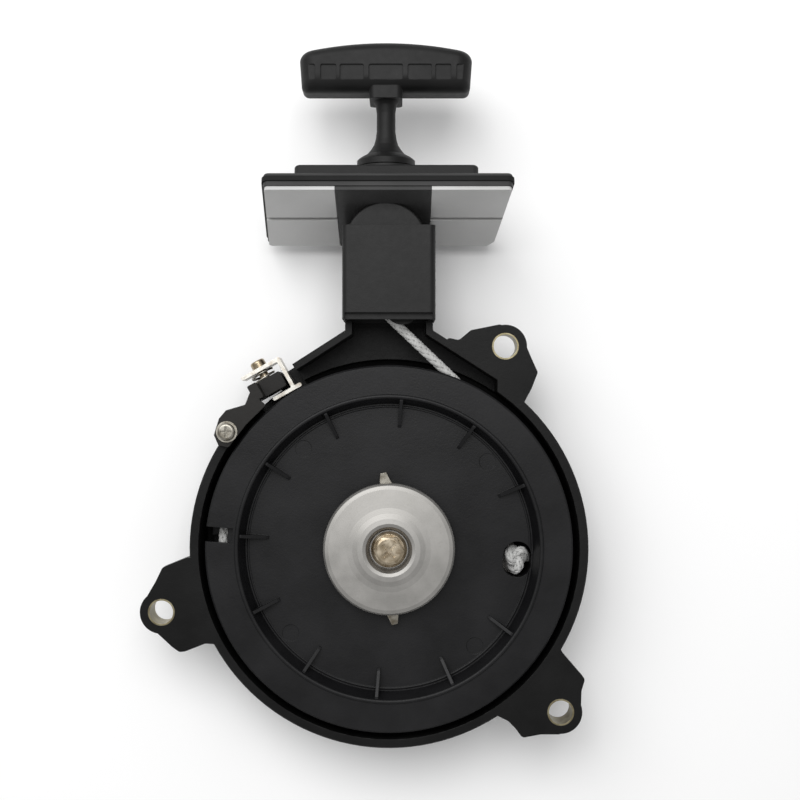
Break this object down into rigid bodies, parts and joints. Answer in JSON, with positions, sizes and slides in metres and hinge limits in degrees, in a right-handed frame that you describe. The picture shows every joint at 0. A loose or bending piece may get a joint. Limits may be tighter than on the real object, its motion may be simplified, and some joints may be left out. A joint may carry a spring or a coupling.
{
  "type": "recoil starter",
  "caption": "Pull-rope recoil starter for a small outboard engine: lugged bowl case with spring-returned rope sheave, pawls, drive plate, neck, cowl plate, T-handle and start-in-gear stop.",
  "frame": {"origin": "centre of the case's flat back, on the sheave's axis", "axes": "+Z along the sheave's axis out of the open side towards the engine, +Y along the rope towards the pull handle, +X to the right of both"},
  "size_m": [0.2248, 0.3518, 0.069],
  "materials": {
    "case_paint": "satin black powder coat on die-cast metal",
    "collar_zinc": "yellow-passivated zinc on steel",
    "bolt_zinc": "yellow-passivated zinc on steel",
    "shaft_steel": "turned and ground",
    "spring_steel": "oiled blue-grey spring steel",
    "pressed_steel": "bright pressed sheet",
    "screw_steel": "bright zinc",
    "neck_plastic": "fine moulded grain",
    "plate_plastic": "fine moulded grain",
    "panel_grey": "pale grey, slightly translucent",
    "seal_rubber": "soft, dull",
    "seat_rubber": "moulded, dull",
    "grip_rubber": "moulded, satin",
    "sheave_plastic": "glass-filled, satin",
    "bush_plastic": "natural, unfilled",
    "rope_white": "white braid with a slight gloss",
    "eyelet_chrome": "polished",
    "stop_plastic": "moulded, dull",
    "stop_steel": "bright zinc-plated strip"
  },
  "bodies": {
    "starter_case": {"case": "case_paint", "lug_collars": "collar_zinc", "post_sleeve": "shaft_steel", "plate_spacer": "shaft_steel", "centre_bolt": "bolt_zinc", "power_spring": "spring_steel", "spring_cover": "pressed_steel", "neck_housing": "neck_plastic", "neck_screws": "screw_steel", "roller_pin": "shaft_steel", "rope_eyelet": "eyelet_chrome", "front_plate": "plate_plastic", "cowl_seal": "seal_rubber", "back_panels": "panel_grey", "plate_socket": "plate_plastic", "plate_screws": "screw_steel", "handle_seat": "seat_rubber", "stop_bracket": "stop_plastic", "bracket_screw": "screw_steel", "bracket_washer": "screw_steel", "stop_spring": "screw_steel", "rope_run": "rope_white"},
    "sheave_body": {"sheave": "sheave_plastic", "hub_bush": "bush_plastic", "pawl_pins": "shaft_steel", "rope_wound": "rope_white", "rope_tail": "rope_white"},
    "drive_plate_body": {"drive_plate": "pressed_steel", "drag_clip": "spring_steel"},
    "pawl_a_body": {"pawl_a": "screw_steel"},
    "pawl_b_body": {"pawl_b": "screw_steel"},
    "roller_body": {"guide_roller": "neck_plastic"},
    "handle_body": {"handle_grip": "grip_rubber", "grip_cap": "grip_rubber", "rope_grip_end": "rope_white"},
    "stop_slide_body": {"stop_slide": "stop_steel", "stop_pin": "bolt_zinc"}
  },
  "joints": [
    {"name": "drum_spin", "type": "hinge", "parent": "starter_case", "child": "sheave_body", "pos_m": [0, 0, 0.03], "axis": [0, 0, 1], "range_deg": [0, 990], "stiffness_Nm_per_rad": 0.05, "springref_deg": -687.55, "deforming": ["rope_wound", "rope_run", "power_spring"]},
    {"name": "handle_pull", "type": "slide", "parent": "starter_case", "child": "handle_body", "axis": [0, 1, 0], "range_m": [0, 1.4525]},
    {"name": "roller_spin", "type": "hinge", "parent": "starter_case", "child": "roller_body", "pos_m": [0.0065, 0.121, 0.0427], "axis": [0, 0, 1], "range_deg": [-10400, 0]},
    {"name": "drive_plate_turn", "type": "hinge", "parent": "sheave_body", "child": "drive_plate_body", "pos_m": [0, 0, 0.047], "axis": [0, 0, 1], "range_deg": [-9.5, 0]},
    {"name": "pawl_a_swing", "type": "hinge", "parent": "sheave_body", "child": "pawl_a_body", "pos_m": [0.0166, 0.01443, 0.0433], "axis": [0, 0, 1], "range_deg": [-35.5, 0]},
    {"name": "pawl_b_swing", "type": "hinge", "parent": "sheave_body", "child": "pawl_b_body", "pos_m": [-0.0166, -0.01443, 0.0433], "axis": [0, 0, 1], "range_deg": [-35.5, 0]},
    {"name": "stop_slide_in", "type": "slide", "parent": "starter_case", "child": "stop_slide_body", "axis": [0.4863, -0.8738, 0], "range_m": [0, 0.004], "stiffness_N_per_m": 300, "springref_m": -0.004, "deforming": ["stop_spring"]}
  ],
  "couplings": [
    {"joint": "handle_pull", "follows": "drum_spin", "m_per_rad": 0.084},
    {"joint": "roller_spin", "follows": "drum_spin", "ratio": -10.5},
    {"joint": "pawl_a_swing", "follows": "drive_plate_turn", "ratio": 3.72},
    {"joint": "pawl_b_swing", "follows": "drive_plate_turn", "ratio": 3.72}
  ]
}
